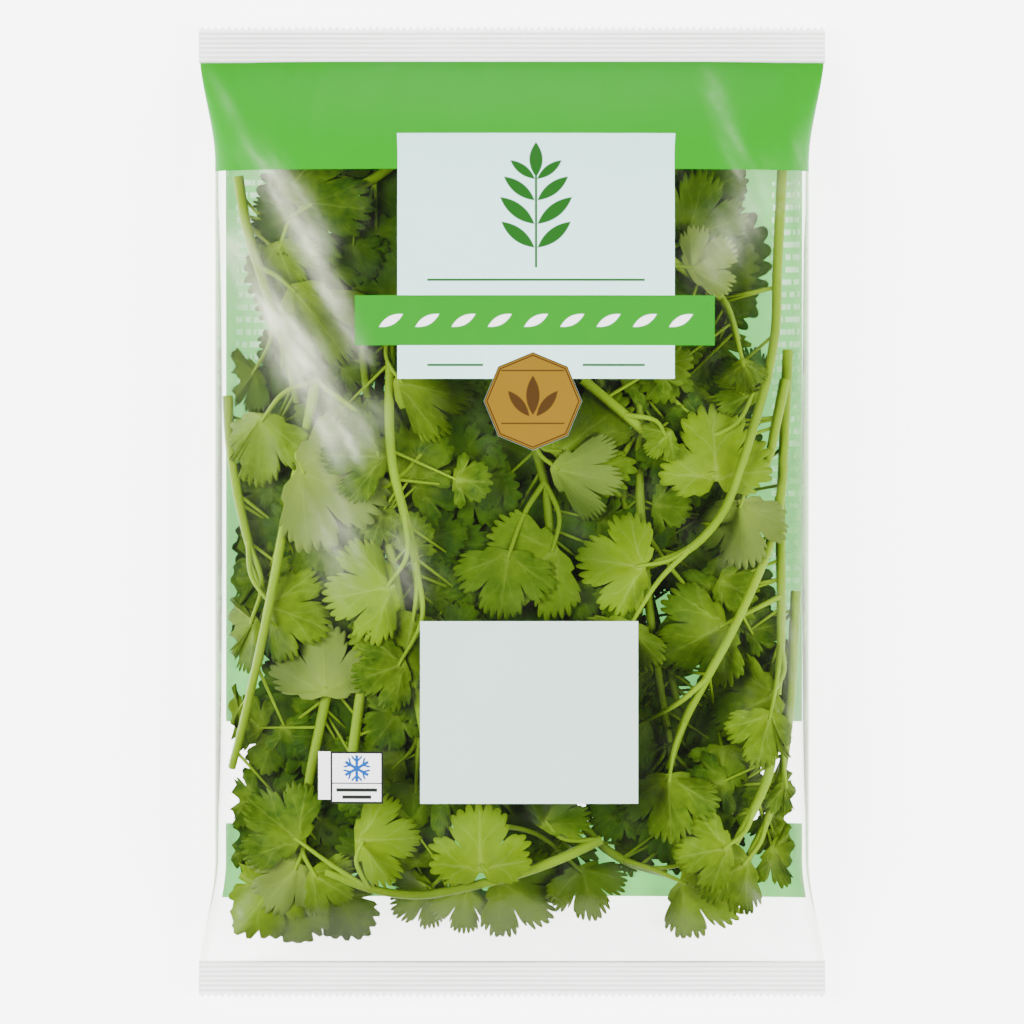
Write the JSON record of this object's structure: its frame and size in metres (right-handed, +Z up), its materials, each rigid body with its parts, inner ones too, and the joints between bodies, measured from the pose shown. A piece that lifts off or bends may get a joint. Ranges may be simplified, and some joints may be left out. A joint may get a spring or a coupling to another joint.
{
  "type": "bagged coriander bunch",
  "caption": "Cut coriander sprigs with toothed leaflets, loose in a clear printed film pillow bag that lies on its back.",
  "frame": {"origin": "on the table under the middle of the bag", "axes": "+Z up out of the bag's front film, +Y towards the bag's top end, +X to the right of its front"},
  "size_m": [0.1614, 0.25, 0.04],
  "materials": {
    "bag_film": "clear glossy film with printed green, grey and gold areas",
    "coriander_green": "fresh, slightly waxy leaf"
  },
  "bodies": {
    "root": {"film_bag": "bag_film", "sprig_01": "coriander_green", "sprig_02": "coriander_green", "sprig_03": "coriander_green", "sprig_04": "coriander_green", "sprig_05": "coriander_green", "sprig_06": "coriander_green", "sprig_07": "coriander_green", "sprig_08": "coriander_green", "sprig_09": "coriander_green", "sprig_10": "coriander_green", "sprig_11": "coriander_green", "sprig_12": "coriander_green", "sprig_13": "coriander_green", "sprig_14": "coriander_green", "sprig_15": "coriander_green", "sprig_16": "coriander_green", "sprig_17": "coriander_green", "sprig_18": "coriander_green", "sprig_19": "coriander_green", "sprig_20": "coriander_green", "sprig_21": "coriander_green", "sprig_22": "coriander_green", "sprig_23": "coriander_green", "sprig_24": "coriander_green", "sprig_25": "coriander_green", "sprig_26": "coriander_green", "sprig_27": "coriander_green"}
  },
  "joints": []
}
